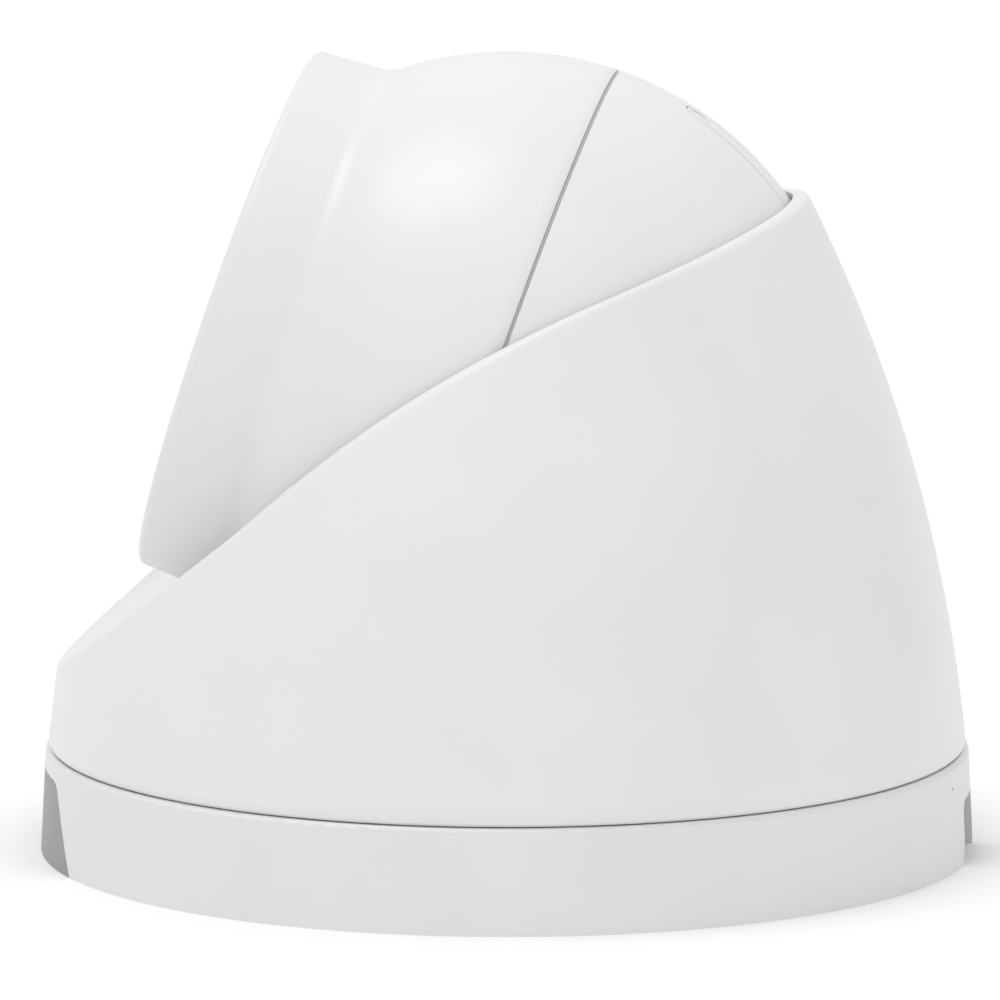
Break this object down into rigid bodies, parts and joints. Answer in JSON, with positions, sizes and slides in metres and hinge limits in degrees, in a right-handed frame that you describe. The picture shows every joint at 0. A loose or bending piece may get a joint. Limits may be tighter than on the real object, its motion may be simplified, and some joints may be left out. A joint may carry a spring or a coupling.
{
  "type": "turret security camera",
  "caption": "Ceiling or wall turret camera: a ball head with a hooded lens face tilts, rolls and pans in a sloped shroud on a round base ring.",
  "frame": {"origin": "centre of the mounting face, which is the foot of the base ring", "axes": "+Z out of the mounting face, -Y towards the side that the lens looks to, X along the tilt axis"},
  "size_m": [0.122, 0.1216, 0.1043],
  "materials": {
    "white_plastic": "satin",
    "hood_plastic": "satin",
    "base_plastic": "satin",
    "grey_plastic": "satin",
    "dark_plastic": "matte",
    "pale_plastic": "matte",
    "foam": "matte",
    "seal_rubber": "matte",
    "thermal_silicone": "matte",
    "steel": "satin",
    "brass": "satin",
    "die_cast": "satin",
    "black_metal": "satin",
    "window_glass": "gloss",
    "lens_glass": "gloss",
    "filter_glass": "gloss",
    "lamp_epoxy": "gloss",
    "board": "satin",
    "chip": "matte"
  },
  "bodies": {
    "base": {"base_ring": "base_plastic", "conduit_cover": "grey_plastic", "mounting_plate": "die_cast", "mounting_gasket": "foam", "lock_screw": "steel", "pan_stop_pin": "steel", "glide_ring": "pale_plastic"},
    "pan": {"shroud": "white_plastic", "turntable": "dark_plastic", "pan_retainer": "die_cast", "retainer_screws": "steel", "shroud_screws": "steel"},
    "tilt": {"tilt_cradle": "steel", "tilt_pins": "steel", "tilt_washers": "brass", "roll_bush": "pale_plastic"},
    "filter": {"filter_carriage": "pale_plastic", "filter_glasses": "filter_glass"},
    "reset": {"reset_button": "pale_plastic"},
    "head": {"front_shell": "hood_plastic", "rear_shell": "white_plastic", "equator_seal": "seal_rubber", "shell_screws": "steel", "roll_nut": "dark_plastic", "cable_gland": "seal_rubber", "access_cover": "white_plastic", "access_gasket": "seal_rubber", "access_screws": "steel", "card_board": "board", "card_socket": "steel", "reset_switch": "chip", "window_gasket": "seal_rubber", "front_window": "window_glass", "window_bezel": "dark_plastic", "face_mask": "dark_plastic", "lens_isolator": "seal_rubber", "led_board": "board", "ir_leds": "lamp_epoxy", "light_sensor": "lamp_epoxy", "microphone": "steel", "standoffs": "brass", "lens_barrel": "black_metal", "front_element": "lens_glass", "rear_element": "lens_glass", "lens_lock_ring": "black_metal", "lens_mount": "dark_plastic", "filter_housing": "dark_plastic", "filter_motor": "chip", "image_sensor": "chip", "sensor_board": "board", "sensor_screws": "steel", "thermal_pads": "thermal_silicone", "chassis": "die_cast", "main_board": "board", "board_screws": "steel", "processor": "chip", "board_connector": "chip", "cable_header": "pale_plastic"}
  },
  "joints": [
    {"name": "pan", "type": "hinge", "parent": "base", "child": "pan", "pos_m": [0, 0, 0.0123], "axis": [0, 0, 1], "range_deg": [-175, 175]},
    {"name": "tilt", "type": "hinge", "parent": "pan", "child": "tilt", "pos_m": [0, 0, 0.0595], "axis": [-1, 0, 0], "range_deg": [0, 71]},
    {"name": "roll", "type": "hinge", "parent": "tilt", "child": "head", "pos_m": [0, 0, 0.0595], "axis": [0, -0.9483, 0.3173], "range_deg": [-177, 177]},
    {"name": "filter_switch", "type": "slide", "parent": "head", "child": "filter", "axis": [1, 0, 0], "range_m": [0, 0.006]},
    {"name": "reset_press", "type": "slide", "parent": "head", "child": "reset", "axis": [0, -0.7373, -0.6756], "range_m": [0, 0.0003], "stiffness_N_per_m": 3000}
  ]
}
